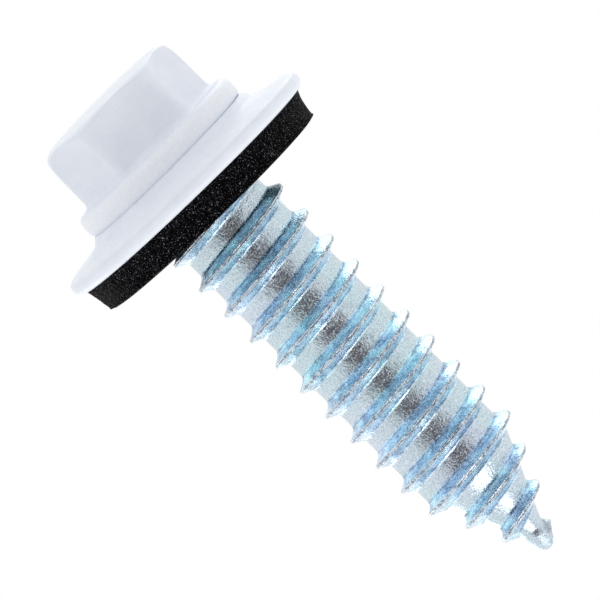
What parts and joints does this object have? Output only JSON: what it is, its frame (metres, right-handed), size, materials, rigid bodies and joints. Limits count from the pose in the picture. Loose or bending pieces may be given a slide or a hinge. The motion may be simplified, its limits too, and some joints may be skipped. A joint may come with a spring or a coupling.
{
  "type": "hex washer head sealing screw",
  "caption": "Coarse-thread gimlet-point screw with a white hex flange head and a captive domed washer with a black rubber seal.",
  "frame": {"origin": "centre of the flat top face of the hex head, which the screw stands on", "axes": "+Z along the shank from the head to the point; two flats of the hex face -Y and +Y, two corners point to -X and +X"},
  "size_m": [0.0158, 0.0158, 0.0324],
  "materials": {
    "screw": "blue-clear zinc plate on the shank, thread and point; satin white paint on the head and flange",
    "metal_washer": "satin white paint with a fine orange-peel texture",
    "rubber_seal": "matt black EPDM with a rough, ragged edge"
  },
  "bodies": {
    "screw": {"screw": "screw"},
    "sealing_washer": {"metal_washer": "metal_washer", "rubber_seal": "rubber_seal"}
  },
  "joints": [
    {"name": "washer_spin", "type": "hinge", "parent": "screw", "child": "sealing_washer", "pos_m": [0, 0, 0.0049], "axis": [0, 0, 1], "continuous": true}
  ]
}
